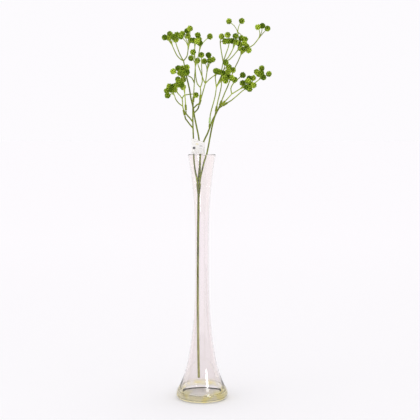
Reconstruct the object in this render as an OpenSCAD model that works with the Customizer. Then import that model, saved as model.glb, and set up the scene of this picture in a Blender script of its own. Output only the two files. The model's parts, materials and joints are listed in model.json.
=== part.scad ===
// Tall one-piece glass bud vase with a removable artificial berry spray.
// Millimetres, +Z up. The origin is the centre of the foot's ground underside.

/* [Vase] */
// Height of the vase, floor to rim
vase_h = 500; // [420:5:600]
// Diameter of the foot at its widest
foot_d = 106; // [98:1:130]
// Diameter of the flat ring that the foot stands on
foot_flat_d = 92; // [70:1:94]
// Height of the widest part of the foot
foot_belly_z = 8; // [6:0.5:10]
// Height at which the foot's shoulder runs into the flared body
foot_top_z = 24; // [20:1:30]
// How far the body sweeps out above the foot, beyond the long flare
foot_sweep = 10; // [4:0.5:12]
// Height at which that sweep begins
foot_sweep_z = 70; // [60:1:90]
// Outside diameter of the waist
waist_d = 28; // [26:0.5:36]
// Outside diameter of the mouth
mouth_d = 56; // [50:1:76]
// Diameter that the flared body would reach at the floor
flare_d = 101; // [86:1:104]
// Height at which the lower flare ends and the waist begins
waist_low_z = 290; // [230:5:300]
// Height at which the waist ends and the mouth begins to open
waist_high_z = 330; // [310:5:370]
// How suddenly the lower flare opens
lower_power = 2.9; // [2:0.1:4]
// How suddenly the mouth opens
upper_power = 2.1; // [1.5:0.1:3]
// Thickness of the glass wall
wall = 2.2; // [1.6:0.1:2.8]
// Thickness of the solid glass under the cavity
floor_t = 11; // [9:1:18]
// Extra thickness that the wall gathers on its way down to the cavity's floor
gather = 5; // [3:0.5:8]
// Height above which the wall's thickness is even
gather_z = 46; // [36:1:60]

/* [Main stem] */
// Diameter of the plastic-covered main stem
stem_d = 5; // [4:0.1:6]
// Diameter of the steel wire inside it
stem_wire_d = 1.6; // [1:0.1:2]
// Height of the cut lower end of the main stem
stem_low_z = 40; // [36:1:60]
// Distance of the crown's underside below the rim
crown_drop = 82; // [76:1:100]
// Gap between the bowed stem and the glass where it rests nearest the wall
stem_gap = 0.7; // [0.5:0.1:1.5]
// How far the main stem bows sideways at mid-height
stem_bow = 2; // [1.4:0.1:2.2]
// Length of bare wire below the cut end
wire_tail = 3; // [2:0.5:6]
// Diameter of the moulded crown
crown_d = 9.4; // [9.2:0.1:11]
// Height of the moulded crown
crown_h = 24; // [22:1:28]

/* [Branches and twigs] */
// Diameter of a branch
branch_d = 3.7; // [2.6:0.1:3.9]
// Diameter of a side arm where it meets its ferrule
arm_d = 3; // [2.2:0.1:3.2]
// Diameter of a sprig's twig in its ferrule
twig_d = 2.5; // [1.8:0.1:2.9]
// Diameter of a twig where it enters a berry head
twig_tip_d = 1.7; // [1:0.1:1.9]

/* [Ferrules] */
// Outside diameter of a ferrule
ferrule_d = 4.4; // [4:0.1:4.8]
// Length of a ferrule
ferrule_l = 11; // [9:0.5:13]
// Diameter of the wire pin that a sprig turns on
pin_d = 1.2; // [1:0.1:1.4]
// Length of that pin
pin_l = 11; // [9:0.5:12]
// Radial clearance of a pin or a twig in its ferrule
fit = 0.05; // [0.03:0.01:0.08]
// Thinnest wall of a ferrule round its twig
ferrule_wall = 0.6; // [0.4:0.1:1]
// Gap between a branch's end and the ferrule above it
ferrule_gap = 0.4; // [0.3:0.1:0.6]

/* [Berry heads] */
// Diameter of a berry head
head_d = 12.6; // [9:0.1:12.6]
// How far a twig's tip is pushed into its head
tip_depth = 2; // [1.5:0.1:3]
// Distance between the three layers of a thick cluster
layer = 13.5; // [13:0.5:15]

/* [Paper label] */
// Width of the label's wrap, left to right
label_w = 27.4; // [27:0.1:28]
// Depth of the label's wrap, front to back
label_d = 17; // [16.5:0.1:18]
// Height of the label at its taller, left side
label_h = 32; // [26:1:36]
// Slant of the label's cut top edge, in degrees
label_slant = 18; // [0:1:24]
// Thickness of the paper with its adhesive
label_t = 0.4; // [0.3:0.1:0.6]
// Gap between the rim of the vase and the label above it
label_gap = 1; // [0.5:0.5:4]
// Distance of the label's middle from the vase's axis
label_x = -7.4; // [-7.8:0.1:-7]

/* [Hidden] */

PALE_GLASS = [0.93, 0.87, 0.90, 0.45];
STEM_GREEN = [0.42, 0.50, 0.14];
TWIG_GREEN = [0.55, 0.65, 0.18];
FERRULE_GREEN = [0.62, 0.72, 0.22];
HEAD_GREEN = [0.42, 0.58, 0.08];
STEEL = [0.35, 0.34, 0.32];
PAPER = [0.96, 0.96, 0.94];

// The sprigs' and branches' routes are drawn for a rim at this height
DRAWN_RIM = 500;
// Rounding of the cavity's floor, across and up
WELL_R = 4;
WELL_H = 4;
// The crown's tapered foot, its rounded top edge, and the branches' offset from its middle
CROWN_TAPER = 20;
CROWN_EDGE = 1.5;
CROWN_OFFSET = 2;
// How deep a branch is moulded into the crown
CROWN_ROOT = 1;
// A side arm's diameter where it leaves its branch, as a share of the branch's
ARM_SHARE = 0.85;
// Straight length of an arm below its ferrule
ARM_STRAIGHT = 7;
// Chamfer of a ferrule's two ends, across and along
FERRULE_CHAMFER = 0.5;
FERRULE_CHAMFER_L = 0.8;
// Gap between a pin's end and the plastic above it
PIN_GAP = 0.3;
// A twig's diameter at the end of its limb and at the start of a fan, as shares of its tip's
LIMB_END = 1.25;
FAN_START = 1.2;
// Where a fanned twig bends, as a share of its reach
KNEE = 0.45;
// Steps along each curved stretch
PROFILE_STEPS = 22;
CURVE_STEP = 15;
ARC_STEPS = 16;
LIMB_STEPS = 2;
TWIG_STEPS = 3;
LIMB_SIDES = 8;
TWIG_SIDES = 6;

// ---- Small vector and curve functions ----

function unit(v) = v / norm(v);

// One point of a Catmull-Rom span from b to c
function span_point(a, b, c, d, t) =
    0.5 * (2 * b + (c - a) * t + (2 * a - 5 * b + 4 * c - d) * t * t
    + (3 * b - a - 3 * c + d) * t * t * t);

// A smooth route through every point of a list
function smooth(p, steps) = [
    for (i = [0 : len(p) - 2], k = [0 : steps - 1])
        span_point(p[max(i - 1, 0)], p[i], p[i + 1], p[min(i + 2, len(p) - 1)], k / steps),
    p[len(p) - 1]];

// A bow from a to c that leaves a towards b
function bow(a, b, c, steps) = [
    for (k = [0 : steps])
        let (t = k / steps)
        a * (1 - t) * (1 - t) + b * 2 * t * (1 - t) + c * t * t];

// Lays a shape that was drawn along +Z along the direction from a to b
module along(a, b) {
    d = b - a;
    translate(a)
        rotate([0, acos(d.z / norm(d)), atan2(d.y, d.x)])
            children();
}

// A thin round limb along a route, from diameter d0 to diameter d1
module limb(route, d0, d1, sides) {
    last = len(route) - 1;
    for (i = [0 : last - 1])
        hull() {
            translate(route[i])
                sphere(d = d0 + (d1 - d0) * i / last, $fn = sides);
            translate(route[i + 1])
                sphere(d = d0 + (d1 - d0) * (i + 1) / last, $fn = sides);
        }
}

// Moves what is drawn for DRAWN_RIM to the real rim
module hung() {
    translate([0, 0, vase_h - DRAWN_RIM])
        children();
}

// ---- The sprigs ----
// Each is [base, aim, limbs]. The ferrule sits on the base and points to the aim.
// A limb is [route, heads]: its twigs fan out from the route's end, one to each head.
// A head given as [x, z] takes its depth from the cluster's three layers.

TOP_LEFT = [[-34, 12, 672], [-37, 12, 688], [
    [[[-37, 12, 688], [-44, 13, 692], [-51, 14, 700], [-58, 15, 715]],
        [[-74, 734], [-65, 742], [-68, 735], [-57, 735]]],
    [[[-37, 12, 688], [-44, 10, 700], [-51, 9, 719]],
        [[-50, 11.5, 740], [-53, 21, 731]]],
    [[[-37, 12, 688], [-30, 12, 697], [-28, 12, 708]],
        [[-42, 735], [-39, 18, 742], [-30, 749], [-23, 751], [-28, 738], [-22, 730]]]]];

LEFT_MID = [[-32, -16, 594], [-33, -18, 611], [
    [[[-33, -18, 611], [-34, -20, 622]],
        [[-47, 649], [-36, 649], [-44, 646], [-40, 638], [-47, 639], [-38, -3, 635]]],
    [[[-34, -20, 622], [-34, -24, 636], [-37, -26, 647]],
        [[-56, 664], [-47, 671], [-39, 671], [-42, 661], [-30, 673], [-38, -6, 659],
        [-29, -37, 663], [-37, 661]]]]];

LOWER_LEFT = [[-36, 12, 584], [-39, 13, 597], [
    [[[-39, 13, 597], [-47, 14, 603], [-53, 15, 611], [-55, 15, 617]],
        [[-69, 618], [-71, 628], [-66, 31, 638]]],
    [[[-39, 13, 597], [-40, 14, 612], [-47, 15, 621]],
        [[-62, 630], [-59, 18, 637], [-55, 31, 630], [-52, 6, 639]]],
    [[[-40, 14, 612], [-36, 17, 619], [-25, 19, 621]],
        [[-12, 16, 620]]]]];

TALL = [[-17, -4, 610], [-16, -4, 625], [
    [[[-16, -4, 625], [-15, -4, 643]], []],
    [[[-15, -4, 643], [-14, -4, 660], [-13, -4, 676]],
        [[-22, -4, 692]]],
    [[[-13, -4, 676], [-9, -4, 687], [-5, -4, 706]],
        [[-8, -5, 737], [-6, 8, 730], [-3, -3, 722], [16, -4, 735]]],
    [[[-13, -4, 676], [-14, -5, 694], [-14, -6, 708]],
        [[-16, 0, 728], [-10, -14, 725]]],
    [[[-15, -4, 643], [-20, -3, 653], [-27, -2, 657]],
        [[-30, 2, 669]]]]];

INNER = [[-3, -11, 614], [-2, -12, 624], [
    [[[-2, -12, 624], [-3, -14, 634]], []],
    [[[-3, -14, 634], [-9, -15, 641], [-12, -16, 656], [-13, -17, 680]],
        [[-17, -19, 703]]],
    [[[-3, -14, 634], [1, -15, 645], [0, -16, 668]],
        [[-1, -16, 698]]]]];

CENTRE = [[-4, 14, 605], [1, 15, 622], [
    [[[1, 15, 622], [7, 16, 643]], []],
    [[[7, 16, 643], [3, 16, 650], [-2, 17, 664], [-7, 17, 678]],
        [[-9, 16, 689]]],
    [[[7, 16, 643], [10, 16, 664]],
        [[5, 15, 687], [13, 19, 700], [16, 8, 688], [22, 21, 691]]],
    [[[7, 16, 643], [15, 16, 651], [24, 15, 658]],
        [[31, 14, 666]]]]];

CENTRE_RIGHT = [[16, -12, 568], [17, -14, 579], [
    [[[17, -14, 579], [19, -16, 588], [23, -20, 602], [27, -22, 618], [29, -22, 634]],
        []],
    [[[29, -22, 634], [27, -23, 650]],
        [[28, -30, 665], [35, -14, 664]]],
    [[[29, -22, 634], [33, -25, 640]],
        [[46, 651], [42, 662], [49, 661], [59, -36, 651], [53, 655], [48, 647],
        [52, 664], [65, -22, 649]]],
    [[[29, -22, 634], [37, -20, 652], [43, -18, 667]],
        [[47, 682], [54, 674], [62, 669]]]]];

UPPER_RIGHT = [[29, -2, 591], [32, -1, 606], [
    [[[32, -1, 606], [36, 1, 622], [39, 2, 636], [40, 2, 652], [40, 2, 670],
        [43, 2, 685]], []],
    [[[43, 2, 685], [39, 0, 706], [37, -2, 720]],
        [[40, -4, 735], [46, 7, 727]]],
    [[[43, 2, 685], [48, 2, 700], [52, 2, 711]],
        [[52, -9, 738], [54, -4, 726]]],
    [[[43, 2, 685], [53, 0, 694], [60, -1, 706]],
        [[67, -2, 736], [61, 8, 727], [68, -8, 724]]],
    [[[43, 2, 685], [56, 0, 690], [67, -1, 702]],
        [[79, 3, 732], [76, 9, 721], [85, -4, 721]]]]];

TOP_RIGHT = [[38, 9, 603], [46, 12, 623], [
    [[[46, 12, 623], [53, 14, 639], [60, 16, 658], [66, 17, 673], [73, 18, 687],
        [79, 19, 701]],
        [[83, 17, 711], [91, 26, 717], [94, 10, 709], [78, 29, 714]]],
    [[[79, 19, 701], [78, 20, 720], [74, 20, 735], [73, 20, 742]],
        [[55, 20, 767], [80, 18, 768], [87, 18, 731]]],
    [[[79, 19, 701], [88, 19, 708], [96, 18, 715], [105, 17, 721], [113, 16, 731]],
        [[113, 12, 755], [122, 21, 759], [132, 14, 753]]]]];

LOWER_RIGHT = [[43, -1, 603], [51, -5, 611], [
    [[[51, -5, 611], [60, -8, 621]], []],
    [[[60, -8, 621], [58, -9, 631], [61, -10, 639], [67, -10, 646], [74, -11, 652]],
        [[82, -12, 658]]],
    [[[60, -8, 621], [67, -10, 625], [75, -11, 630]],
        [[82, -4, 643], [91, -14, 646], [98, -3, 641], [104, -16, 638], [89, -20, 634],
        [96, -10, 630]]]]];

FAR_RIGHT = [[47, 18, 601], [60, 20, 609], [
    [[[60, 20, 609], [71, 20, 618], [81, 20, 627], [95, 18, 637]],
        [[96, 12, 653], [104, 23, 654]]],
    [[[95, 18, 637], [106, 16, 643], [115, 14, 650]],
        [[110, 8, 666], [121, 12, 673], [120, 0, 663], [115, 20, 662], [124, 12, 655],
        [135, 7, 661]]]]];

SPRIGS = [TOP_LEFT, LEFT_MID, LOWER_LEFT, TALL, INNER, CENTRE, CENTRE_RIGHT,
    UPPER_RIGHT, TOP_RIGHT, LOWER_RIGHT, FAR_RIGHT];

// The three layers of a cluster, nearest, middle and farthest, taken in turn
function head_place(h, i, y) = len(h) == 3 ? h : [h[0], y + layer * (i % 3 - 1), h[1]];

// The centre of every head of one limb
function limb_heads(l) =
    let (tip = l[0][len(l[0]) - 1])
    [for (i = [0 : 1 : len(l[1]) - 1]) head_place(l[1][i], i, tip.y)];

// The point where a sprig's own moulding begins, halfway up its ferrule
function twig_foot(s) = s[0] + unit(s[1] - s[0]) * ferrule_gap;

module ferrule(s) {
    half = ferrule_l / 2;
    bore = twig_d / 2 + fit;
    outside = max(ferrule_d / 2, bore + ferrule_wall);
    lip = outside - min(FERRULE_CHAMFER, ferrule_wall / 2);
    color(FERRULE_GREEN)
        hung()
            along(s[0], s[1])
                rotate_extrude($fn = 48)
                    polygon([
                        [pin_d / 2 + fit, -half],
                        [lip, -half],
                        [outside, FERRULE_CHAMFER_L - half],
                        [outside, half - FERRULE_CHAMFER_L],
                        [lip, half],
                        [bore, half],
                        [bore, 0],
                        [pin_d / 2 + fit, 0]]);
}

// The twigs of one sprig, fused where they fork
module twigs(s) {
    foot = twig_foot(s);
    step = unit(s[1] - s[0]);
    neck = s[0] + step * (ferrule_l / 2 + 1);
    color(TWIG_GREEN)
        hung() {
            limb([foot + step * twig_d / 2, neck, s[1]], twig_d, twig_d, LIMB_SIDES);
            for (l = s[2]) {
                limb(smooth(l[0], LIMB_STEPS), twig_d, twig_tip_d * LIMB_END, LIMB_SIDES);
                fan(l);
            }
        }
}

// One thin twig from a limb's end to each of its heads
module fan(l) {
    last = len(l[0]) - 1;
    tip = l[0][last];
    lead = unit(tip - l[0][last - 1]);
    for (h = limb_heads(l)) {
        reach = norm(h - tip);
        knee = tip + lead * reach * KNEE;
        stop = h - unit(h - knee) * (head_d / 2 - tip_depth);
        limb(bow(tip, knee, stop, TWIG_STEPS), twig_tip_d * FAN_START, twig_tip_d, TWIG_SIDES);
    }
}

module heads(s) {
    color(HEAD_GREEN)
        hung()
            for (l = s[2], h = limb_heads(l))
                translate(h)
                    sphere(d = head_d, $fn = 32);
}

// ---- The vase ----

// Outside radius of the body at a height, without the foot
function body_r(z) =
    z < waist_low_z
    ? waist_d / 2 + (flare_d - waist_d) / 2 * pow(1 - z / waist_low_z, lower_power)
        + foot_sweep * pow(max(0, 1 - z / foot_sweep_z), 2)
    : z < waist_high_z
    ? waist_d / 2
    : waist_d / 2
        + (mouth_d - waist_d) / 2
        * pow((z - waist_high_z) / (vase_h - waist_high_z), upper_power);

// Heights between two levels, in even steps
function levels(z0, z1, n) = [for (k = [0 : n]) z0 + (z1 - z0) * k / n];

// Heights of the profile's points above the level z0
function body_levels(z0) = concat(
    levels(z0, waist_low_z, PROFILE_STEPS),
    levels(waist_high_z, vase_h - wall / 2, PROFILE_STEPS));

// The wall's thickness at a height: even above, and gathered towards the foot
function wall_at(z) =
    wall + gather * pow(max(0, (gather_z - z) / (gather_z - floor_t)), 2);

module glass_vase() {
    flat_r = foot_flat_d / 2;
    belly_r = foot_d / 2;
    top_r = body_r(foot_top_z);
    cavity_z = floor_t + WELL_H;
    cavity_r = body_r(cavity_z) - wall_at(cavity_z);
    foot_curve = [
        for (a = [0 : CURVE_STEP : 90])
            [flat_r + (belly_r - flat_r) * sin(a), foot_belly_z * (1 - cos(a))]];
    shoulder_curve = [
        for (a = [CURVE_STEP : CURVE_STEP : 90])
            [belly_r - (belly_r - top_r) * (1 - cos(a)),
            foot_belly_z + (foot_top_z - foot_belly_z) * a / 90]];
    lip = [
        for (a = [0 : 2 * CURVE_STEP : 180])
            [mouth_d / 2 - wall / 2 + wall / 2 * cos(a), vase_h - wall / 2 + wall / 2 * sin(a)]];
    outside = [for (z = body_levels(foot_top_z)) if (z > foot_top_z) [body_r(z), z]];
    inside = [for (z = body_levels(cavity_z)) if (z > cavity_z) [body_r(z) - wall_at(z), z]];
    well = [
        for (a = [0 : CURVE_STEP : 90])
            [cavity_r - WELL_R * (1 - cos(a)), cavity_z - WELL_H * sin(a)]];
    down = [for (i = [len(inside) - 2 : -1 : 0]) inside[i]];
    up = [for (i = [0 : len(outside) - 2]) outside[i]];
    color(PALE_GLASS)
        rotate_extrude($fn = 128)
            polygon(concat([[0, 0]], foot_curve, shoulder_curve, up, lip, down, well, [[0, floor_t]]));
}

// ---- The stem, crown and branches ----

// The main stem is an arc of a very large circle in the XZ plane. Its middle bows towards
// the glass, and its two ends stand this far from the vase's axis.
crown_z = vase_h - crown_drop;
stem_x = waist_d / 2 - wall - stem_gap - stem_d / 2 - stem_bow;
chord = crown_z - stem_low_z;
bend_r = (chord * chord / 4 + stem_bow * stem_bow) / (2 * stem_bow);

// A round rod that follows the stem's arc, between two heights
module stem_arc(d, z0, z1, hole = 0) {
    mid = (crown_z + stem_low_z) / 2;
    a0 = asin((z0 - mid) / bend_r);
    a1 = asin((z1 - mid) / bend_r);
    translate([bend_r - stem_x - stem_bow, 0, mid])
        rotate([90, 0, 180])
            rotate([0, 0, -a1])
                rotate_extrude(angle = a1 - a0, $fn = ceil(360 / (a1 - a0)) * ARC_STEPS)
                    translate([bend_r, 0])
                        difference() {
                            circle(d = d, $fn = 32);
                            if (hole > 0)
                                circle(d = hole, $fn = 32);
                        }
}

module main_stem() {
    color(STEM_GREEN)
        stem_arc(stem_d, stem_low_z, crown_z, stem_wire_d);
}

module main_stem_wire() {
    color(STEEL)
        stem_arc(stem_wire_d, stem_low_z - wire_tail, crown_z);
}

// The moulded crown closes the stem's top and holds the four branches
module stem_crown() {
    color(STEM_GREEN)
        translate([-stem_x, 0, crown_z])
            rotate_extrude($fn = 48)
                polygon([[0, 0], [stem_d / 2, 0], [crown_d / 2, CROWN_TAPER],
                    [crown_d / 2, crown_h - CROWN_EDGE], [crown_d / 2 - CROWN_EDGE, crown_h],
                    [0, crown_h]]);
}

// A branch's start in the crown, one of four places in a square
function crown_place(x, y) =
    [-stem_x + CROWN_OFFSET * x, CROWN_OFFSET * y, DRAWN_RIM - crown_drop + crown_h - CROWN_ROOT];

// The point below a sprig's ferrule where its branch or arm stops
function arm_end(s) = s[0] - unit(s[1] - s[0]) * (ferrule_l / 2 + ferrule_gap + arm_d / 2);

// A second point lower on the same line, which keeps the arm straight there
function arm_lead(s) = s[0] - unit(s[1] - s[0]) * (ferrule_l / 2 + ferrule_gap + ARM_STRAIGHT);

module arm(route, s, d) {
    limb(smooth(concat(route, [arm_lead(s), arm_end(s)]), LIMB_STEPS), d, arm_d, LIMB_SIDES);
}

module branch_left() {
    color(STEM_GREEN)
        hung() {
            arm([crown_place(-1, -1), [-11, -3, 455], [-14, -3, 470], [-16.5, -2, 497],
                [-17, -2, 531], [-18, -4, 560], [-18, -4, 585]], TALL, branch_d);
            arm([[-18, -4, 553], [-25, 4, 561], [-31, 9, 569]], LOWER_LEFT, branch_d * ARM_SHARE);
            arm([[-18, -4, 565], [-24, -10, 573]], LEFT_MID, branch_d * ARM_SHARE);
            arm([[-18, -4, 581], [-11, 8, 588]], CENTRE, branch_d * ARM_SHARE);
            arm([[-18, -4, 591], [-9, -9, 600]], INNER, branch_d * ARM_SHARE);
        }
}

module branch_far_left() {
    color(STEM_GREEN)
        hung()
            arm([crown_place(-1, 1), [-7, 3.5, 455], [-5, 4, 474], [-4, 4, 497], [-6, 5, 531],
                [-10, 7, 552], [-15, 9, 576], [-18, 10, 596], [-22, 11, 612], [-25, 11, 631],
                [-29, 12, 648]], TOP_LEFT, branch_d);
}

module branch_right() {
    color(STEM_GREEN)
        hung() {
            arm([crown_place(1, -1), [-4, -3, 455], [-3.5, -3, 474], [-3, -3, 497],
                [3, -3, 524], [11, -3, 541], [17, -3, 557], [22, -3, 570]],
                UPPER_RIGHT, branch_d);
            arm([[16, -3, 553], [17, -8, 557]], CENTRE_RIGHT, branch_d * ARM_SHARE);
        }
}

module branch_far_right() {
    color(STEM_GREEN)
        hung() {
            arm([crown_place(1, 1), [-2.5, 3, 455], [1, 4, 470], [5, 4, 487], [10, 4, 501],
                [16, 5, 532], [20, 5, 553], [25, 6, 573], [30, 7, 586]], TOP_RIGHT, branch_d);
            arm([[28, 6, 582], [34, 4, 592]], LOWER_RIGHT, branch_d * ARM_SHARE);
            arm([[25, 6, 574], [32, 13, 589]], FAR_RIGHT, branch_d * ARM_SHARE);
        }
}

// Wire pins: the lower part is moulded into the branch, and the sprig turns on the rest
module sprig_pins() {
    color(STEEL)
        hung()
            for (s = SPRIGS)
                along(s[0], s[1])
                    translate([0, 0, -pin_l - PIN_GAP])
                        cylinder(d = pin_d, h = pin_l, $fn = 24);
}

// ---- The paper label ----

// A flat-sided oval, as wide and deep as given
module oval(w, d) {
    square([w - d, d], center = true);
    for (side = [-1, 1])
        translate([side * (w - d) / 2, 0])
            circle(d = d, $fn = 48);
}

module paper_label() {
    color(PAPER)
        translate([label_x, 0, vase_h + label_gap])
            difference() {
                linear_extrude(height = label_h)
                    difference() {
                        oval(label_w, label_d);
                        oval(label_w - 2 * label_t, label_d - 2 * label_t);
                    }
                translate([-label_w / 2, 0, label_h])
                    rotate([0, label_slant, 0])
                        translate([-label_w, -label_d, 0])
                            cube([3 * label_w, 2 * label_d, label_h]);
            }
}

glass_vase();
main_stem();
main_stem_wire();
stem_crown();
branch_left();
branch_far_left();
branch_right();
branch_far_right();
sprig_pins();
paper_label();
ferrule(TOP_LEFT);  // ferrule_top_left
twigs(TOP_LEFT);  // twigs_top_left
heads(TOP_LEFT);  // heads_top_left
ferrule(LEFT_MID);  // ferrule_left_mid
twigs(LEFT_MID);  // twigs_left_mid
heads(LEFT_MID);  // heads_left_mid
ferrule(LOWER_LEFT);  // ferrule_lower_left
twigs(LOWER_LEFT);  // twigs_lower_left
heads(LOWER_LEFT);  // heads_lower_left
ferrule(TALL);  // ferrule_tall
twigs(TALL);  // twigs_tall
heads(TALL);  // heads_tall
ferrule(INNER);  // ferrule_inner
twigs(INNER);  // twigs_inner
heads(INNER);  // heads_inner
ferrule(CENTRE);  // ferrule_centre
twigs(CENTRE);  // twigs_centre
heads(CENTRE);  // heads_centre
ferrule(CENTRE_RIGHT);  // ferrule_centre_right
twigs(CENTRE_RIGHT);  // twigs_centre_right
heads(CENTRE_RIGHT);  // heads_centre_right
ferrule(UPPER_RIGHT);  // ferrule_upper_right
twigs(UPPER_RIGHT);  // twigs_upper_right
heads(UPPER_RIGHT);  // heads_upper_right
ferrule(TOP_RIGHT);  // ferrule_top_right
twigs(TOP_RIGHT);  // twigs_top_right
heads(TOP_RIGHT);  // heads_top_right
ferrule(LOWER_RIGHT);  // ferrule_lower_right
twigs(LOWER_RIGHT);  // twigs_lower_right
heads(LOWER_RIGHT);  // heads_lower_right
ferrule(FAR_RIGHT);  // ferrule_far_right
twigs(FAR_RIGHT);  // twigs_far_right
heads(FAR_RIGHT);  // heads_far_right
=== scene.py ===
import json
import math

import bmesh
import bpy
import numpy as np
from bpy.props import FloatProperty, FloatVectorProperty, IntProperty, PointerProperty
from mathutils import Matrix, Vector, noise


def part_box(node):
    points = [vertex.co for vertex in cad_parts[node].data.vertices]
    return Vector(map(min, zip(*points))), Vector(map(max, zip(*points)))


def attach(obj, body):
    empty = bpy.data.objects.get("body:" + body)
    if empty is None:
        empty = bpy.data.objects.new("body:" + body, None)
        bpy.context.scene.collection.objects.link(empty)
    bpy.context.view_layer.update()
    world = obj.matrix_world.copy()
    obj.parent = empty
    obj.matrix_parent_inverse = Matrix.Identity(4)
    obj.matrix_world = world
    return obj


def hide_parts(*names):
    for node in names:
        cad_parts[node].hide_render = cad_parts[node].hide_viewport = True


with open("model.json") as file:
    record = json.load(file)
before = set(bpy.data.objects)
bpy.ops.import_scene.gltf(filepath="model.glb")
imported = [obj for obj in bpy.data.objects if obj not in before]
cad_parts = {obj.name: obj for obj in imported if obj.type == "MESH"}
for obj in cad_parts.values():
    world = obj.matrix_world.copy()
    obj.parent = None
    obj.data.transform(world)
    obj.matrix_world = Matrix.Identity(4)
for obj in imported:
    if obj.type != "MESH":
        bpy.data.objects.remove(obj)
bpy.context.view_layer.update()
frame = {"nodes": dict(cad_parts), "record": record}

bl_info = {
    "name": "Glass Bud Vase with Berry Spray",
    "version": (1, 0, 0),
    "blender": (4, 5, 0),
    "location": "View3D > Sidebar > Vase",
    "description": "Builds a tall glass bud vase and the artificial berry spray that stands in it",
    "category": "Add Mesh",
}

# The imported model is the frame. Everything below takes its places and sizes from it.
BODIES = frame["record"]["behaviour"]["bodies"]
SPRIGS = [name[len("sprig_"):] for name in BODIES if name.startswith("sprig_")]
BRANCHES = [name for name in BODIES["spray"] if name.startswith("branch_")]
MM = 0.001

# The sprig whose ferrule is moulded in a paler plastic
PALE_SPRIG = "centre_right"
# Heights between which one tint of the glass turns into the next
FOOT_RISE = (0.010, 0.030)
WAIST_RISE = (0.16, 0.27)
NECK_RISE = (0.33, 0.43)
# Heights between which the paler colour of the main stem low in the vase, a painted veil of the
# glass's reflections, turns into its green
STEM_RISE = (0.10, 0.36)
# The ferrules' own finer grid, and how far the blended pieces swell to make up for smoothing
FERRULE_VOXEL = 0.22 * MM
STEM_SWELL = 0.03 * MM
TWIG_SWELL = 0.04 * MM
FERRULE_SWELL = 0.02 * MM
# Height of the bump on moulded plastic
PLASTIC_BUMP = 0.0002
# The label: points round its loop, rows up it, the slant of its top edge and its creases
LABEL_POINTS = 72
LABEL_ROWS = 24
LABEL_SLANT = math.radians(18)
LABEL_CREASE = 0.35 * MM
# The stage: the floor's half side, then each soft box's place, target, width, height and power
FLOOR_SIZE = 30.0
GLINT_BOX = ((0.70, -1.12, 0.66), (0, 0, 0.05), 0.34, 0.60, 6)
FILL_BOXES = {
    "softbox_left": ((-1.7, -0.9, 1.1), (0, 0, 0.2), 0.8, 0.8, 1.4),
    "softbox_top": ((0.3, 0.4, 2.2), (0, 0, 0.6), 0.8, 0.8, 1.2),
}
# The grey cards that draw the glass's edges: half side, place on the right, and colour
CARD_SIZE = 0.12
CARD_PLACE = (0.50, -0.05, 0.08)
CARD_COLOUR = (0.22, 0.21, 0.18)


# ---- Settings ----

class VaseGlassSettings(bpy.types.PropertyGroup):
    """The glass of the vase"""
    turns: IntProperty(
        name="Turn Steps", description="Steps round the vase", default=80, min=32, max=256)
    neck_tint: FloatVectorProperty(
        name="Neck Tint", description="Tint of the thin walls of the neck and mouth",
        subtype="COLOR", default=(0.992, 0.957, 0.955), min=0, max=1)
    waist_tint: FloatVectorProperty(
        name="Waist Tint", description="Tint of the walls round the waist", subtype="COLOR",
        default=(0.979, 0.942, 0.953), min=0, max=1)
    body_tint: FloatVectorProperty(
        name="Body Tint", description="Tint of the thicker walls low in the body",
        subtype="COLOR", default=(0.968, 0.931, 0.937), min=0, max=1)
    foot_tint: FloatVectorProperty(
        name="Foot Tint", description="Tint of the foot's surface", subtype="COLOR",
        default=(0.990, 0.985, 0.950), min=0, max=1)
    amber_tint: FloatVectorProperty(
        name="Amber Tint", description="Tint of the amber patches in the foot",
        subtype="COLOR", default=(0.99, 0.88, 0.22), min=0, max=1)
    depth_colour: FloatVectorProperty(
        name="Depth Colour", description="Colour that thick glass turns to", subtype="COLOR",
        default=(0.80, 0.72, 0.24), min=0, max=1)
    depth_density: FloatProperty(
        name="Depth Density", description="How fast thick glass takes on that colour",
        default=7.0)


class VaseSpraySettings(bpy.types.PropertyGroup):
    """The plastic stems, twigs and heads"""
    voxel: FloatProperty(
        name="Blend Size", description="Size of the grid that blends the forks",
        default=0.00030, unit="LENGTH", precision=5)
    stem_voxel: FloatProperty(
        name="Stem Grid Size", description="Size of that grid on the long plain main stem",
        default=0.00045, unit="LENGTH", precision=5)
    stem_colour: FloatVectorProperty(
        name="Stem Colour", description="Main colour of the stems and branches",
        subtype="COLOR", default=(0.185, 0.225, 0.022), min=0, max=1)
    # Paler colour painted on the main stem low in the vase: a painted veil of the glass's
    # reflections over it
    veiled_stem_colour: FloatVectorProperty(
        name="Veiled Stem Colour", description="Colour of the main stem low in the vase",
        subtype="COLOR", default=(0.500, 0.510, 0.230), min=0, max=1)
    twig_colour: FloatVectorProperty(
        name="Twig Colour", description="Main colour of the sprigs' twigs",
        subtype="COLOR", default=(0.370, 0.450, 0.060), min=0, max=1)
    ferrule_colour: FloatVectorProperty(
        name="Ferrule Colour", description="Colour of the sprigs' moulded sockets",
        subtype="COLOR", default=(0.270, 0.330, 0.030), min=0, max=1)
    pale_ferrule: FloatVectorProperty(
        name="Pale Ferrule Colour", description="Colour of the one paler socket",
        subtype="COLOR", default=(0.46, 0.62, 0.25), min=0, max=1)
    head_colour: FloatVectorProperty(
        name="Head Colour", description="Main colour of the berry heads",
        subtype="COLOR", default=(0.335, 0.520, 0.007), min=0, max=1)
    nubs: IntProperty(
        name="Nubs", description="Round nubs on each berry head", default=26, min=20, max=160)
    nub_height: FloatProperty(
        name="Nub Height", description="How far the nubs stand out of the creases",
        default=0.0030, unit="LENGTH", precision=5)


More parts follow.
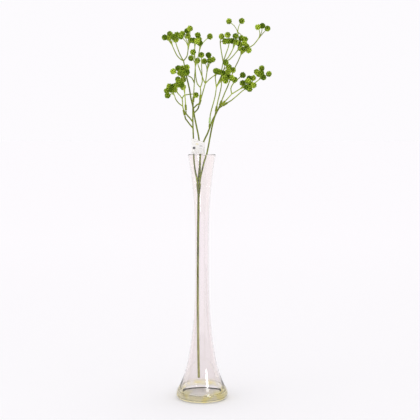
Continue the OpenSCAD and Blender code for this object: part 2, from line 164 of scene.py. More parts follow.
class VaseLabelSettings(bpy.types.PropertyGroup):
    """The paper label"""
    paper: FloatProperty(
        name="Paper Thickness", description="Thickness of the paper", default=0.00028,
        unit="LENGTH", precision=5)
    paper_colour: FloatVectorProperty(
        name="Paper Colour", description="Colour of the paper", subtype="COLOR",
        default=(0.985, 0.965, 0.955), min=0, max=1)
    patch_colour: FloatVectorProperty(
        name="Patch Colour", description="Colour of the pale printed patch", subtype="COLOR",
        default=(0.93, 0.85, 0.58), min=0, max=1)
    # Also the colour of the grey line of painted shade near the label's top edge
    ink_and_shade_colour: FloatVectorProperty(
        name="Ink and Shade Colour", description="Colour of the printed marks", subtype="COLOR",
        default=(0.09, 0.085, 0.10), min=0, max=1)


class VaseStageSettings(bpy.types.PropertyGroup):
    """The camera, the floor and the light"""
    camera_distance: FloatProperty(
        name="Camera Distance", description="Distance in front of the vase", default=1.958,
        unit="LENGTH")
    camera_height: FloatProperty(
        name="Camera Height", description="Height of the camera", default=0.5615,
        unit="LENGTH")
    camera_side: FloatProperty(
        name="Camera Side", description="Offset to the right of the vase", default=0.0164,
        unit="LENGTH")
    camera_tilt: FloatProperty(
        name="Camera Tilt", description="How far the camera looks down",
        default=math.radians(5.09), subtype="ANGLE")
    lens: FloatProperty(
        name="Lens", description="Focal length on a 36 mm frame, in millimetres",
        default=82.96)
    backdrop_colour: FloatVectorProperty(
        name="Backdrop Colour", description="Colour of the studio behind the vase",
        subtype="COLOR", default=(0.980, 0.963, 0.988), min=0, max=1)
    floor_colour: FloatVectorProperty(
        name="Floor Colour", description="Colour of the floor round the vase", subtype="COLOR",
        default=(0.940, 0.932, 0.955), min=0, max=1)
    far_colour: FloatVectorProperty(
        name="Far Floor Colour", description="Colour of the floor where it meets the backdrop",
        subtype="COLOR", default=(0.986, 0.974, 1.0), min=0, max=1)
    air_gap: FloatProperty(
        name="Air Gap", description="Thin gap of air between the foot and the floor",
        default=0.0004, unit="LENGTH", precision=5)
    light_colour: FloatVectorProperty(
        name="Light Colour", description="Colour of the soft light all round",
        subtype="COLOR", default=(1.0, 0.99, 0.99), min=0, max=1)
    light_strength: FloatProperty(
        name="Light Strength", description="Strength of the soft light all round",
        default=1.0, min=0)
    room_shade: FloatProperty(
        name="Room Shade", description="Brightness of the room on the camera's side, as the "
        "glass reflects it", default=0.22, min=0, max=1)


# ---- Making pieces ----

def piece(name, bm, material, body, slot, *nodes):
    """Turns a bmesh into a smooth finished piece that rides on a body and stands for its nodes"""
    mesh = bpy.data.meshes.new(name)
    bm.to_mesh(mesh)
    bm.free()
    for polygon in mesh.polygons:
        polygon.use_smooth = True
    mesh.materials.append(material)
    obj = bpy.data.objects.new(name, mesh)
    bpy.context.scene.collection.objects.link(obj)
    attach(obj, body)
    if nodes:
        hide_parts(*nodes)
    return obj


def merged_copy(node):
    """A bmesh copy of a CAD node, with its loose triangles joined"""
    bm = bmesh.new()
    bm.from_mesh(frame["nodes"][node].data)
    bmesh.ops.remove_doubles(bm, verts=bm.verts, dist=0.002 * MM)
    return bm


def blended_copy(node, voxel, rounds, swell):
    """A bmesh copy of a CAD node, remeshed so that its forks blend and its facets go"""
    bm = merged_copy(node)
    mesh = bpy.data.meshes.new("blend")
    bm.to_mesh(mesh)
    bm.free()
    obj = bpy.data.objects.new("blend", mesh)
    bpy.context.scene.collection.objects.link(obj)
    remesh = obj.modifiers.new("remesh", "REMESH")
    remesh.mode = "VOXEL"
    remesh.voxel_size = voxel
    graph = bpy.context.evaluated_depsgraph_get()
    done = bpy.data.meshes.new_from_object(obj.evaluated_get(graph))
    bpy.data.objects.remove(obj)
    bpy.data.meshes.remove(mesh)
    bm = bmesh.new()
    bm.from_mesh(done)
    bpy.data.meshes.remove(done)
    for _ in range(rounds):
        bmesh.ops.smooth_vert(
            bm, verts=bm.verts, factor=0.5, use_axis_x=True, use_axis_y=True, use_axis_z=True)
    bm.normal_update()
    for vert in bm.verts:
        vert.co += vert.normal * swell
    return bm


def loose_parts(bm):
    """The connected groups of vertices in a bmesh"""
    left = set(bm.verts)
    groups = []
    while left:
        stack = [left.pop()]
        group = []
        while stack:
            vert = stack.pop()
            group.append(vert)
            for edge in vert.link_edges:
                other = edge.other_vert(vert)
                if other in left:
                    left.remove(other)
                    stack.append(other)
        groups.append(group)
    return groups


def middle(verts):
    """The middle of the box round some vertices"""
    low = Vector([min(v.co[i] for v in verts) for i in range(3)])
    high = Vector([max(v.co[i] for v in verts) for i in range(3)])
    return (low + high) / 2, (high - low).x / 2


def head_places(sprig):
    """(centre, radius) of every berry head of a sprig, in a steady order"""
    bm = merged_copy("heads_" + sprig)
    places = [middle(group) for group in loose_parts(bm)]
    bm.free()
    return sorted(places, key=lambda p: (round(p[0].z, 4), round(p[0].x, 4), p[0].y))


# ---- Materials ----

def node_material(name):
    """An empty node material with a Principled shader, and the pieces to wire it"""
    material = bpy.data.materials.new(name)
    material.use_nodes = True
    tree = material.node_tree
    return material, tree, tree.nodes["Principled BSDF"]


def add(tree, kind, **values):
    """Adds a shader node, setting its properties and then its input sockets by name"""
    node = tree.nodes.new(kind)
    for key, value in values.items():
        if hasattr(node, key):
            setattr(node, key, value)
        else:
            node.inputs[key.replace("_", " ")].default_value = value
    return node


def math_node(tree, operation, first, second=None, clamp=False):
    """A Math node whose inputs are sockets or numbers"""
    node = tree.nodes.new("ShaderNodeMath")
    node.operation = operation
    node.use_clamp = clamp
    for place, value in enumerate((first, second)):
        if value is None:
            continue
        if isinstance(value, bpy.types.NodeSocket):
            tree.links.new(value, node.inputs[place])
        else:
            node.inputs[place].default_value = value
    return node.outputs[0]


def mix_colour(tree, factor, first, second, blend="MIX"):
    """A colour Mix node whose inputs are sockets or values"""
    node = tree.nodes.new("ShaderNodeMix")
    node.data_type = "RGBA"
    node.blend_type = blend
    for place, value in ((0, factor), (6, first), (7, second)):
        socket = node.inputs[place]
        if isinstance(value, bpy.types.NodeSocket):
            tree.links.new(value, socket)
        elif isinstance(value, (int, float)):
            socket.default_value = value
        else:
            socket.default_value = (*value, 1)
    return node.outputs[2]


def group_frame(name, inputs, outputs):
    """A new shader node group with its two ends, or the group alone if it was made before"""
    group = bpy.data.node_groups.get(name)
    if group:
        return group, None, None
    group = bpy.data.node_groups.new(name, "ShaderNodeTree")
    for label, kind, value in inputs:
        socket = group.interface.new_socket(label, in_out="INPUT", socket_type=kind)
        if value is not None:
            socket.default_value = value
    for label, kind in outputs:
        group.interface.new_socket(label, in_out="OUTPUT", socket_type=kind)
    return group, group.nodes.new("NodeGroupInput"), group.nodes.new("NodeGroupOutput")


def place_group(tree, group, **values):
    """Places a group in a material, with its values"""
    node = tree.nodes.new("ShaderNodeGroup")
    node.node_tree = group
    for key, value in values.items():
        socket = node.inputs[key.replace("_", " ")]
        if isinstance(value, bpy.types.NodeSocket):
            tree.links.new(value, socket)
        else:
            socket.default_value = value
    return node


def moulded_group():
    """Moulded plastic: blotches of two tones, long draw marks, and a fine grain for the bump"""
    group, enter, leave = group_frame("Moulded plastic", [
        ("Dark", "NodeSocketColor", None), ("Light", "NodeSocketColor", None),
        ("Blotch Scale", "NodeSocketFloat", 40.0), ("Streak Scale", "NodeSocketFloat", 900.0)],
        [("Color", "NodeSocketColor"), ("Roughness", "NodeSocketFloat"),
        ("Height", "NodeSocketFloat")])
    if enter is None:
        return group
    coords = group.nodes.new("ShaderNodeTexCoord")
    blotch = add(group, "ShaderNodeTexNoise", Detail=3.0, Roughness=0.6)
    group.links.new(coords.outputs["Object"], blotch.inputs["Vector"])
    group.links.new(enter.outputs["Blotch Scale"], blotch.inputs["Scale"])
    stretch = add(group, "ShaderNodeMapping", Scale=(1.0, 1.0, 0.04))
    group.links.new(coords.outputs["Object"], stretch.inputs["Vector"])
    streak = add(group, "ShaderNodeTexNoise", Detail=2.0, Roughness=0.5)
    group.links.new(stretch.outputs[0], streak.inputs["Vector"])
    group.links.new(enter.outputs["Streak Scale"], streak.inputs["Scale"])
    grain = add(group, "ShaderNodeTexNoise", Scale=2600.0, Detail=2.0)
    group.links.new(coords.outputs["Object"], grain.inputs["Vector"])
    ramp = add(group, "ShaderNodeMapRange", From_Min=0.34, From_Max=0.66)
    group.links.new(blotch.outputs["Fac"], ramp.inputs["Value"])
    soft = math_node(group, "MULTIPLY", ramp.outputs["Result"], 0.75)
    line = math_node(group, "MULTIPLY", streak.outputs["Fac"], 0.25)
    tone = math_node(group, "ADD", soft, line, clamp=True)
    colour = mix_colour(group, tone, enter.outputs["Dark"], enter.outputs["Light"])
    group.links.new(colour, leave.inputs["Color"])
    rough = add(group, "ShaderNodeMapRange", To_Min=0.38, To_Max=0.62)
    group.links.new(streak.outputs["Fac"], rough.inputs["Value"])
    group.links.new(rough.outputs["Result"], leave.inputs["Roughness"])
    fine = math_node(group, "MULTIPLY", grain.outputs["Fac"], 0.35)
    group.links.new(math_node(group, "ADD", fine, streak.outputs["Fac"]), leave.inputs["Height"])
    return group


def moulded_material(name, colour, dark, light, distance, low_colour=None):
    """A moulded plastic between two tones of its colour, with another colour low in the vase where
    given: a painted veil of the glass's reflections on the main stem
    """
    material, tree, shader = node_material(name)
    tones = [tuple(c * k for c in colour) for k in (dark, light)]
    if low_colour:
        coords = tree.nodes.new("ShaderNodeTexCoord")
        axes = tree.nodes.new("ShaderNodeSeparateXYZ")
        tree.links.new(coords.outputs["Object"], axes.inputs[0])
        rise = add(tree, "ShaderNodeMapRange", From_Min=STEM_RISE[0], From_Max=STEM_RISE[1])
        rise.interpolation_type = "SMOOTHSTEP"
        tree.links.new(axes.outputs["Z"], rise.inputs["Value"])
        # Paler tones low in the vase: a painted veil of the glass's reflections over the stem
        low = [tuple(c * k for c in low_colour) for k in (0.8, 1.2)]
        ends = [mix_colour(tree, rise.outputs["Result"], *pair) for pair in zip(low, tones)]
    else:
        ends = [(*tone, 1) for tone in tones]
    mould = place_group(tree, moulded_group(), Dark=ends[0], Light=ends[1])
    tree.links.new(mould.outputs["Color"], shader.inputs["Base Color"])
    tree.links.new(mould.outputs["Roughness"], shader.inputs["Roughness"])
    bump = add(tree, "ShaderNodeBump", Strength=0.35, Distance=distance)
    tree.links.new(mould.outputs["Height"], bump.inputs["Height"])
    tree.links.new(bump.outputs["Normal"], shader.inputs["Normal"])
    shader.inputs["Specular IOR Level"].default_value = 0.14
    shader.inputs["Subsurface Weight"].default_value = 0.06
    shader.inputs["Subsurface Radius"].default_value = (0.6, 1.0, 0.2)
    shader.inputs["Subsurface Scale"].default_value = 0.0008
    return material


def glass_material(settings):
    """Clear glass with a faint tint in its walls and a deeper one in its foot"""
    material, tree, shader = node_material("vase_glass")
    coords = tree.nodes.new("ShaderNodeTexCoord")
    axes = tree.nodes.new("ShaderNodeSeparateXYZ")
    tree.links.new(coords.outputs["Object"], axes.inputs[0])
    tint = settings.body_tint
    for span, colour in ((WAIST_RISE, settings.waist_tint), (NECK_RISE, settings.neck_tint)):
        rise = add(tree, "ShaderNodeMapRange", From_Min=span[0], From_Max=span[1])
        rise.interpolation_type = "SMOOTHSTEP"
        tree.links.new(axes.outputs["Z"], rise.inputs["Value"])
        tint = mix_colour(tree, rise.outputs["Result"], tint, colour)
    patch = add(tree, "ShaderNodeTexNoise", Scale=38.0, Detail=1.0)
    tree.links.new(coords.outputs["Object"], patch.inputs["Vector"])
    amber = add(tree, "ShaderNodeMapRange", From_Min=0.48, From_Max=0.66, To_Max=0.75)
    amber.interpolation_type = "SMOOTHSTEP"
    tree.links.new(patch.outputs["Fac"], amber.inputs["Value"])
    foot = mix_colour(tree, amber.outputs["Result"], settings.foot_tint, settings.amber_tint)
    sink = add(tree, "ShaderNodeMapRange", From_Min=FOOT_RISE[0], From_Max=FOOT_RISE[1])
    sink.interpolation_type = "SMOOTHSTEP"
    tree.links.new(axes.outputs["Z"], sink.inputs["Value"])
    tint = mix_colour(tree, sink.outputs["Result"], foot, tint)
    tree.links.new(tint, shader.inputs["Base Color"])
    shader.inputs["Transmission Weight"].default_value = 1.0
    shader.inputs["IOR"].default_value = 1.5
    shader.inputs["Roughness"].default_value = 0.0
    depth = tree.nodes.new("ShaderNodeVolumeAbsorption")
    depth.inputs["Color"].default_value = (*settings.depth_colour, 1)
    depth.inputs["Density"].default_value = settings.depth_density
    tree.links.new(depth.outputs[0], tree.nodes["Material Output"].inputs["Volume"])
    wave = add(tree, "ShaderNodeTexNoise", Scale=22.0, Detail=1.0)
    tree.links.new(coords.outputs["Object"], wave.inputs["Vector"])
    flow = add(tree, "ShaderNodeTexNoise", Scale=70.0, Detail=1.0)
    tree.links.new(coords.outputs["Object"], flow.inputs["Vector"])
    calm = add(tree, "ShaderNodeMapRange", From_Min=0.012, From_Max=0.040, To_Min=10.0, To_Max=0.0)
    tree.links.new(axes.outputs["Z"], calm.inputs["Value"])
    ripple = math_node(tree, "MULTIPLY", flow.outputs["Fac"], calm.outputs["Result"])
    bump = add(tree, "ShaderNodeBump", Strength=0.05, Distance=0.0006)
    tree.links.new(math_node(tree, "ADD", wave.outputs["Fac"], ripple), bump.inputs["Height"])
    tree.links.new(bump.outputs["Normal"], shader.inputs["Normal"])
    return material


def head_material(colour):
    """The heads' flocked foam: painted shade darkening the creases between the nubs, the foam's
    colour on the nub tops, and a tone of its own for each head
    """
    material, tree, shader = node_material("head_foam")
    crease_shade_fill = add(tree, "ShaderNodeAttribute", attribute_name="crease_shade_fill")
    tone = add(tree, "ShaderNodeAttribute", attribute_name="tone")
    coords = tree.nodes.new("ShaderNodeTexCoord")
    speckle = add(tree, "ShaderNodeTexNoise", Scale=900.0, Detail=3.0)
    tree.links.new(coords.outputs["Object"], speckle.inputs["Vector"])
    # Crease colour: painted shade in the creases between the nubs
    deep = tuple(c * k for c, k in zip(colour, (0.06, 0.09, 0.03)))
    ripe = tuple(c * k for c, k in zip(colour, (0.34, 0.42, 0.25)))
    young = tuple(c * k for c, k in zip(colour, (1.70, 1.45, 9.0)))
    skin = mix_colour(tree, tone.outputs["Fac"], ripe, young)
    fleck = add(tree, "ShaderNodeMapRange", From_Min=0.35, From_Max=0.7, To_Min=0.0, To_Max=0.45)
    tree.links.new(speckle.outputs["Fac"], fleck.inputs["Value"])
    skin = mix_colour(tree, fleck.outputs["Result"], skin, young)
    shade_fill = math_node(tree, "POWER", crease_shade_fill.outputs["Fac"], 1.1, clamp=True)
    tree.links.new(mix_colour(tree, shade_fill, deep, skin), shader.inputs["Base Color"])
    shader.inputs["Roughness"].default_value = 0.72
    shader.inputs["Specular IOR Level"].default_value = 0.10
    shader.inputs["Subsurface Weight"].default_value = 0.10
    shader.inputs["Subsurface Radius"].default_value = (0.5, 1.0, 0.15)
    shader.inputs["Subsurface Scale"].default_value = 0.0012
    bump = add(tree, "ShaderNodeBump", Strength=0.4, Distance=0.00015)
    tree.links.new(speckle.outputs["Fac"], bump.inputs["Height"])
    tree.links.new(bump.outputs["Normal"], shader.inputs["Normal"])
    return material


def steel_material():
    """Dull drawn steel wire"""
    material, tree, shader = node_material("stem_wire")
    coords = tree.nodes.new("ShaderNodeTexCoord")
    stretch = add(tree, "ShaderNodeMapping", Scale=(1.0, 1.0, 0.05))
    tree.links.new(coords.outputs["Object"], stretch.inputs["Vector"])
    draw = add(tree, "ShaderNodeTexNoise", Scale=1800.0, Detail=3.0)
    tree.links.new(stretch.outputs[0], draw.inputs["Vector"])
    tree.links.new(
        mix_colour(tree, draw.outputs["Fac"], (0.10, 0.095, 0.085), (0.30, 0.29, 0.27)),
        shader.inputs["Base Color"])
    rough = add(tree, "ShaderNodeMapRange", To_Min=0.32, To_Max=0.60)
    tree.links.new(draw.outputs["Fac"], rough.inputs["Value"])
    tree.links.new(rough.outputs["Result"], shader.inputs["Roughness"])
    shader.inputs["Metallic"].default_value = 1.0
    return material


def mark_group():
    """A block on the label's front, for the printed marks and the painted shade line: a mask that
    is 1 inside a box in X and Z
    """
    group, enter, leave = group_frame("Print and shade mark", [
        ("Middle X", "NodeSocketFloat", 0.0), ("Middle Z", "NodeSocketFloat", 0.0),
        ("Half Width", "NodeSocketFloat", 0.001), ("Half Height", "NodeSocketFloat", 0.001),
        ("Edge", "NodeSocketFloat", 0.0002)],
        [("Mask", "NodeSocketFloat")])
    if enter is None:
        return group
    coords = group.nodes.new("ShaderNodeTexCoord")
    axes = group.nodes.new("ShaderNodeSeparateXYZ")
    group.links.new(coords.outputs["Object"], axes.inputs[0])
    sides = []
    for axis, centre, half in (("X", "Middle X", "Half Width"), ("Z", "Middle Z", "Half Height")):
        off = math_node(group, "SUBTRACT", axes.outputs[axis], enter.outputs[centre])
        away = math_node(group, "ABSOLUTE", off)
        inside = math_node(group, "SUBTRACT", enter.outputs[half], away)
        sides.append(math_node(group, "DIVIDE", inside, enter.outputs["Edge"], clamp=True))
    front = math_node(group, "LESS_THAN", axes.outputs["Y"], 0.0)
    mask = math_node(group, "MULTIPLY", math_node(group, "MULTIPLY", sides[0], sides[1]), front)
    group.links.new(mask, leave.inputs["Mask"])
    return group


def label_material(settings, low, high):
    """White label paper with its fibres, a few generic marks printed on the front, and a grey line
    of painted shade near its top edge
    """
    material, tree, shader = node_material("label_paper")
    coords = tree.nodes.new("ShaderNodeTexCoord")
    fibre = add(tree, "ShaderNodeTexNoise", Scale=1400.0, Detail=4.0, Roughness=0.65)
    tree.links.new(coords.outputs["Object"], fibre.inputs["Vector"])
    cloud = add(tree, "ShaderNodeTexNoise", Scale=90.0, Detail=2.0)
    tree.links.new(coords.outputs["Object"], cloud.inputs["Vector"])
    warm = tuple(c * k for c, k in zip(settings.paper_colour, (1.0, 0.985, 0.90)))
    wash = add(tree, "ShaderNodeMapRange", From_Min=0.45, From_Max=0.75, To_Max=0.8)
    tree.links.new(cloud.outputs["Fac"], wash.inputs["Value"])
    colour = mix_colour(tree, wash.outputs["Result"], settings.paper_colour, warm)
    width = high.x - low.x
    tall = high.z - low.z
    marks = [
        # across and up as shares of the label, half width and half height in mm, strength
        # First row: no print but painted shade, a grey line for the shaded inner back of the loop
        # seen over its top edge
        (0.36, 0.80, 5.0, 0.45, 0.45),
        (0.20, 0.38, 2.7, 2.5, 0.90),
        (0.72, 0.50, 3.2, 0.9, 0.60),
        (0.70, 0.36, 3.6, 0.30, 0.30),
        (0.92, 0.20, 0.4, 2.6, 0.35),
        (0.55, 0.22, 4.6, 0.30, 0.25),
        (0.55, 0.15, 4.6, 0.30, 0.25)]
    for across, up, half_width, half_height, strength in marks:
        mark = place_group(
            tree, mark_group(), Middle_X=low.x + width * across, Middle_Z=low.z + tall * up,
            Half_Width=half_width * MM, Half_Height=half_height * MM)
        fade = math_node(tree, "MULTIPLY", mark.outputs["Mask"], strength)
        colour = mix_colour(tree, fade, colour, settings.ink_and_shade_colour)
    patch = place_group(
        tree, mark_group(), Middle_X=low.x + width * 0.42, Middle_Z=low.z + tall * 0.62,
        Half_Width=3.2 * MM, Half_Height=2.2 * MM, Edge=0.8 * MM)
    fade = math_node(tree, "MULTIPLY", patch.outputs["Mask"], 0.8)
    colour = mix_colour(tree, fade, colour, settings.patch_colour)
    tree.links.new(colour, shader.inputs["Base Color"])
    rough = add(tree, "ShaderNodeMapRange", To_Min=0.55, To_Max=0.75)
    tree.links.new(fibre.outputs["Fac"], rough.inputs["Value"])
    tree.links.new(rough.outputs["Result"], shader.inputs["Roughness"])
    shader.inputs["Subsurface Weight"].default_value = 0.15
    shader.inputs["Subsurface Radius"].default_value = (1, 1, 1)
    shader.inputs["Subsurface Scale"].default_value = 0.0008
    bump = add(tree, "ShaderNodeBump", Strength=0.25, Distance=0.00008)
    tree.links.new(fibre.outputs["Fac"], bump.inputs["Height"])
    tree.links.new(bump.outputs["Normal"], shader.inputs["Normal"])
    return material


def floor_material(colour, far):
    """A plain matt pale floor that turns a little paler far behind the vase"""
    material, tree, shader = node_material("studio_floor")
    coords = tree.nodes.new("ShaderNodeTexCoord")
    axes = tree.nodes.new("ShaderNodeSeparateXYZ")
    tree.links.new(coords.outputs["Object"], axes.inputs[0])
    away = add(tree, "ShaderNodeMapRange", From_Min=0.0, From_Max=3.0)
    away.interpolation_type = "SMOOTHSTEP"
    tree.links.new(axes.outputs["Y"], away.inputs["Value"])
    tree.links.new(
        mix_colour(tree, away.outputs["Result"], colour, far), shader.inputs["Base Color"])
    shader.inputs["Roughness"].default_value = 0.6
    shader.inputs["Specular IOR Level"].default_value = 0.0
    return material


# ---- Operators ----

class VASE_OT_glass(bpy.types.Operator):
    """Turns the glass vase from its own cross-section"""
    bl_idname = "vase.glass"
    bl_label = "Glass Vase"

    def execute(self, context):
        settings = context.scene.vase_glass
        bm = merged_copy("glass_vase")
        flat = 0.0005 * MM
        off = [v for v in bm.verts if abs(v.co.y) > flat or v.co.x < -flat]
        bmesh.ops.delete(bm, geom=off, context="VERTS")
        bmesh.ops.delete(bm, geom=list(bm.faces), context="FACES_ONLY")
        if len(bm.verts) < 60:
            raise RuntimeError("the vase's cross-section wasn't found in its CAD node")
        bmesh.ops.spin(
            bm, geom=list(bm.verts) + list(bm.edges), cent=(0, 0, 0), axis=(0, 0, 1),
            angle=math.tau, steps=settings.turns, use_merge=True, use_duplicate=False)
        bmesh.ops.remove_doubles(bm, verts=bm.verts, dist=0.002 * MM)
        bmesh.ops.recalc_face_normals(bm, faces=bm.faces)
        glass = piece(
            "vase_glass", bm, glass_material(settings), "vase", "vase_glass", "glass_vase")
        smooth = glass.modifiers.new("smooth", "SUBSURF")
        smooth.levels = 1
        smooth.render_levels = 1
        return {"FINISHED"}


class VASE_OT_stems(bpy.types.Operator):
    """Rounds the main stem, its crown and the four branches"""
    bl_idname = "vase.stems"
    bl_label = "Stems and Branches"

    def execute(self, context):
        settings = context.scene.vase_spray
        material = moulded_material("stem_plastic", settings.stem_colour, 0.6, 1.5, PLASTIC_BUMP,
            settings.veiled_stem_colour)
        for node in ["main_stem", "stem_crown"] + BRANCHES:
            voxel = settings.stem_voxel if node == "main_stem" else settings.voxel
            bm = blended_copy(node, voxel, 4, STEM_SWELL)
            piece(node + "_moulding", bm, material, "spray", "stem_plastic", node)
        return {"FINISHED"}


class VASE_OT_wires(bpy.types.Operator):
    """Gives the steel core and the sprigs' pins their finish"""
    bl_idname = "vase.wires"
    bl_label = "Wires"

    def execute(self, context):
        material = steel_material()
        for node in ("main_stem_wire", "sprig_pins"):
            mesh = frame["nodes"][node].data
            mesh.materials.clear()
            mesh.materials.append(material)
        return {"FINISHED"}


class VASE_OT_ferrules(bpy.types.Operator):
    """Turns the light green socket at the foot of each sprig"""
    bl_idname = "vase.ferrules"
    bl_label = "Ferrules"

    def execute(self, context):
        settings = context.scene.vase_spray
        plain = moulded_material(
            "ferrule_plastic", settings.ferrule_colour, 0.7, 1.2, PLASTIC_BUMP)
        pale = moulded_material(
            "pale_ferrule_plastic", settings.pale_ferrule, 0.85, 1.15, PLASTIC_BUMP)
        for sprig in SPRIGS:
            material = pale if sprig == PALE_SPRIG else plain
            bm = blended_copy("ferrule_" + sprig, FERRULE_VOXEL, 2, FERRULE_SWELL)
            piece("ferrule_%s_moulding" % sprig, bm, material, "sprig_" + sprig,
                "ferrule_plastic", "ferrule_" + sprig)
        return {"FINISHED"}


class VASE_OT_twigs(bpy.types.Operator):
    """Blends the forks of each sprig's twigs"""
    bl_idname = "vase.twigs"
    bl_label = "Twigs"

    def execute(self, context):
        settings = context.scene.vase_spray
        material = moulded_material(
            "twig_plastic", settings.twig_colour, 0.55, 1.35, PLASTIC_BUMP)
        for sprig in SPRIGS:
            bm = blended_copy("twigs_" + sprig, settings.voxel, 3, TWIG_SWELL)
            piece("twigs_%s_moulding" % sprig, bm, material, "sprig_" + sprig,
                "twig_plastic", "twigs_" + sprig)
        return {"FINISHED"}


def golden_directions(count):
    """Directions spread evenly over a ball along a golden-angle spiral"""
    i = np.arange(count) + 0.5
    height = 1 - 2 * i / count
    turn = i * math.pi * (3 - math.sqrt(5))
    ring = np.sqrt(1 - height * height)
    return np.stack([ring * np.cos(turn), ring * np.sin(turn), height], axis=1)


def nubbed_ball(bm, centre, radius, tone, spin, settings):
    """Adds one berry head: a ball whose surface rises in a round nub at each direction"""
    tone_layer = bm.verts.layers.float["tone"]
    crease_shade_fill_layer = bm.verts.layers.float["crease_shade_fill"]
    verts = bmesh.ops.create_icosphere(bm, subdivisions=5, radius=1.0)["verts"]
    turn = Matrix.Rotation(spin, 3, Vector((0.3, 0.5, 0.8)).normalized())
    nubs = golden_directions(settings.nubs) @ np.array(turn).T
    out = np.array([v.co.normalized() for v in verts])
    angles = np.arccos(np.clip(out @ nubs.T, -1, 1))
    nearest = angles.argmin(axis=1)
    reach = 1.0 * 2 / math.sqrt(settings.nubs)
    rise = np.sqrt(np.clip(1 - (angles.min(axis=1) / reach) ** 2, 0, 1))
    tall = 0.80 + 0.20 * np.sin(np.arange(settings.nubs) * 2.4 + spin * 3)
    for vert, direction, height, nub in zip(verts, out, rise, nearest):
        swell = (noise.noise(Vector(direction) * 1.6 + centre * 400) - 0.5) * 0.10
        distance = radius * (1.0 + swell) + settings.nub_height * (height * tall[nub] - 0.70)
        vert.co = centre + Vector(direction) * distance
        vert[tone_layer] = tone + 0.9 * (tall[nub] - 0.8)
        # Mask of the painted crease shade: 0 deep in a crease, where the foam is painted darkest, 1
        # on a nub's top
        vert[crease_shade_fill_layer] = height * tall[nub]


class VASE_OT_heads(bpy.types.Operator):
    """Models the bumpy berry heads on the twigs' tips"""
    bl_idname = "vase.heads"
    bl_label = "Berry Heads"

    def execute(self, context):
        settings = context.scene.vase_spray
        material = head_material(settings.head_colour)
        for number, sprig in enumerate(SPRIGS):
            bm = bmesh.new()
            bm.verts.layers.float.new("tone")
            bm.verts.layers.float.new("crease_shade_fill")
            for i, (centre, radius) in enumerate(head_places(sprig)):
                tone = 0.5 + 0.5 * math.sin(number * 2.4 + i * 2.39996)
                nubbed_ball(bm, centre, radius, tone, number + i * 1.7, settings)
            piece("heads_%s_foam" % sprig, bm, material, "sprig_" + sprig, "head_foam",
                "heads_" + sprig)
        return {"FINISHED"}


class VASE_OT_label(bpy.types.Operator):
    """Wraps the paper label round the stems"""
    bl_idname = "vase.label"
    bl_label = "Paper Label"

    def execute(self, context):
        settings = context.scene.vase_label
        low, high = (Vector(c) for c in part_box("paper_label"))
        centre = (low + high) / 2
        bm = bmesh.new()
        radius = (high.y - low.y) / 2
        straight = (high.x - low.x) / 2 - radius
        ring = bmesh.ops.create_circle(
            bm, segments=LABEL_POINTS, radius=radius - settings.paper)["verts"]
        for vert in ring:
            vert.co.x += math.copysign(straight, vert.co.x)
            vert.co += Vector((centre.x, centre.y, low.z))
        edges = list(bm.edges)
        drop = (high.x - low.x) * math.tan(LABEL_SLANT)
        for _ in range(LABEL_ROWS):
            made = bmesh.ops.extrude_edge_only(bm, edges=edges)["geom"]
            for vert in (g for g in made if isinstance(g, bmesh.types.BMVert)):
                full = high.z - low.z - drop * (vert.co.x - low.x) / (high.x - low.x)
                vert.co.z += full / LABEL_ROWS
            edges = [g for g in made if isinstance(g, bmesh.types.BMEdge)
                and all(v in made for v in g.verts)]
        for vert in bm.verts:
            wave = noise.noise(vert.co * 90) * 0.5 + noise.noise(vert.co * 260) * 0.25
            vert.co.y += wave * LABEL_CREASE
        bmesh.ops.recalc_face_normals(bm, faces=bm.faces)
        label = piece("label_wrap", bm, label_material(settings, low, high), "spray",
            "label_paper", "paper_label")
        thick = label.modifiers.new("paper", "SOLIDIFY")
        thick.thickness = settings.paper
        thick.offset = 0
        return {"FINISHED"}


def stage_plane(name, material, size, place, turn=(0, 0, 0)):
    """A plane of the stage, with its place in its mesh"""
    bm = bmesh.new()
    bmesh.ops.create_grid(bm, x_segments=1, y_segments=1, size=size)
    for axis, angle in zip("XYZ", turn):
        bmesh.ops.rotate(bm, verts=bm.verts, cent=(0, 0, 0), matrix=Matrix.Rotation(angle, 3, axis))
    bmesh.ops.translate(bm, verts=bm.verts, vec=place)
    mesh = bpy.data.meshes.new(name)
    bm.to_mesh(mesh)
    bm.free()
    mesh.materials.append(material)
    obj = bpy.data.objects.new(name, mesh)
    bpy.context.scene.collection.objects.link(obj)
    return obj


def area_light(name, place, target, width, height, power):
    """A soft box aimed at a point"""
    light = bpy.data.lights.new(name, "AREA")
    light.shape = "RECTANGLE"
    light.size = width
    light.size_y = height
    light.energy = power
    obj = bpy.data.objects.new(name, light)
    bpy.context.scene.collection.objects.link(obj)
    obj.location = place
    obj.rotation_euler = (Vector(target) - Vector(place)).to_track_quat("-Z", "Y").to_euler()
    return obj


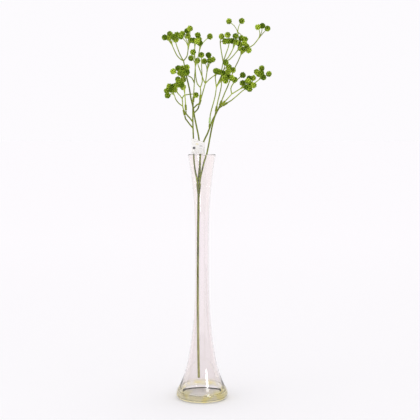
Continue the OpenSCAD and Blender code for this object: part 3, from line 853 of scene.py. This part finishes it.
def studio_world(settings):
    """A pale backdrop, with the soft light and the darker room that only the pieces see"""
    world = bpy.data.worlds.new("studio")
    world.use_nodes = True
    tree = world.node_tree
    sky = tree.nodes["Background"]
    sky.inputs["Color"].default_value = (*settings.backdrop_colour, 1)
    soft = tree.nodes.new("ShaderNodeBackground")
    room = tree.nodes.new("ShaderNodeBackground")
    soft.inputs["Color"].default_value = (*settings.light_colour, 1)
    soft.inputs["Strength"].default_value = settings.light_strength
    coords = tree.nodes.new("ShaderNodeTexCoord")
    axes = tree.nodes.new("ShaderNodeSeparateXYZ")
    tree.links.new(coords.outputs["Generated"], axes.inputs[0])
    front = add(tree, "ShaderNodeMapRange", From_Min=-0.55, From_Max=0.0,
        To_Min=settings.room_shade, To_Max=1.05)
    front.interpolation_type = "SMOOTHSTEP"
    tree.links.new(axes.outputs["Y"], front.inputs["Value"])
    tree.links.new(front.outputs["Result"], room.inputs["Color"])
    path = tree.nodes.new("ShaderNodeLightPath")
    seen = math_node(tree, "GREATER_THAN", path.outputs["Glossy Depth"], 0.5)
    lit = math_node(tree, "GREATER_THAN", path.outputs["Diffuse Depth"], 0.5)
    first = tree.nodes.new("ShaderNodeMixShader")
    second = tree.nodes.new("ShaderNodeMixShader")
    tree.links.new(seen, first.inputs[0])
    tree.links.new(sky.outputs[0], first.inputs[1])
    tree.links.new(room.outputs[0], first.inputs[2])
    tree.links.new(lit, second.inputs[0])
    tree.links.new(first.outputs[0], second.inputs[1])
    tree.links.new(soft.outputs[0], second.inputs[2])
    tree.links.new(second.outputs[0], tree.nodes["World Output"].inputs["Surface"])
    return world


class VASE_OT_stage(bpy.types.Operator):
    """Sets the floor, the soft light and the camera"""
    bl_idname = "vase.stage"
    bl_label = "Stage"

    def execute(self, context):
        settings = context.scene.vase_stage
        floor = floor_material(settings.floor_colour, settings.far_colour)
        stage_plane("floor", floor, FLOOR_SIZE, (0, 0, -settings.air_gap))
        context.scene.world = studio_world(settings)
        area_light("softbox_front", *GLINT_BOX).visible_diffuse = False
        for name, box in FILL_BOXES.items():
            area_light(name, *box).visible_glossy = False
        grey = floor_material(CARD_COLOUR, CARD_COLOUR)
        across, deep, up = CARD_PLACE
        for side in (-1, 1):
            card = stage_plane("edge_card_%d" % side, grey, CARD_SIZE, (side * across, deep, up),
                (0, math.pi / 2, 0))
            card.visible_camera = False
            card.visible_diffuse = False
            card.visible_shadow = False
        camera = bpy.data.cameras.new("camera")
        camera.lens = settings.lens
        camera.sensor_width = 36
        camera.clip_end = 100
        obj = bpy.data.objects.new("camera", camera)
        context.scene.collection.objects.link(obj)
        obj.location = (settings.camera_side, -settings.camera_distance, settings.camera_height)
        obj.rotation_euler = (math.pi / 2 - settings.camera_tilt, 0, 0)
        context.scene.camera = obj
        context.scene.view_settings.view_transform = "Standard"
        return {"FINISHED"}


class VASE_PT_panel(bpy.types.Panel):
    """Lists the vase's pieces"""
    bl_label = "Bud Vase"
    bl_idname = "VASE_PT_panel"
    bl_space_type = "VIEW_3D"
    bl_region_type = "UI"
    bl_category = "Vase"

    def draw(self, context):
        for operator in OPERATORS:
            self.layout.operator(operator.bl_idname)


OPERATORS = (VASE_OT_stage, VASE_OT_glass, VASE_OT_stems, VASE_OT_wires, VASE_OT_ferrules,
    VASE_OT_twigs, VASE_OT_heads, VASE_OT_label)
SETTINGS = {
    "vase_glass": VaseGlassSettings,
    "vase_spray": VaseSpraySettings,
    "vase_label": VaseLabelSettings,
    "vase_stage": VaseStageSettings,
}


def register():
    for cls in (*SETTINGS.values(), *OPERATORS, VASE_PT_panel):
        bpy.utils.register_class(cls)
    for name, cls in SETTINGS.items():
        setattr(bpy.types.Scene, name, PointerProperty(type=cls))


def unregister():
    for name in SETTINGS:
        delattr(bpy.types.Scene, name)
    for cls in reversed((*SETTINGS.values(), *OPERATORS, VASE_PT_panel)):
        bpy.utils.unregister_class(cls)


def main():
    """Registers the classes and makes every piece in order"""
    register()
    for operator in OPERATORS:
        family, name = operator.bl_idname.split(".")
        getattr(getattr(bpy.ops, family), name)()


if __name__ == "__main__":
    main()
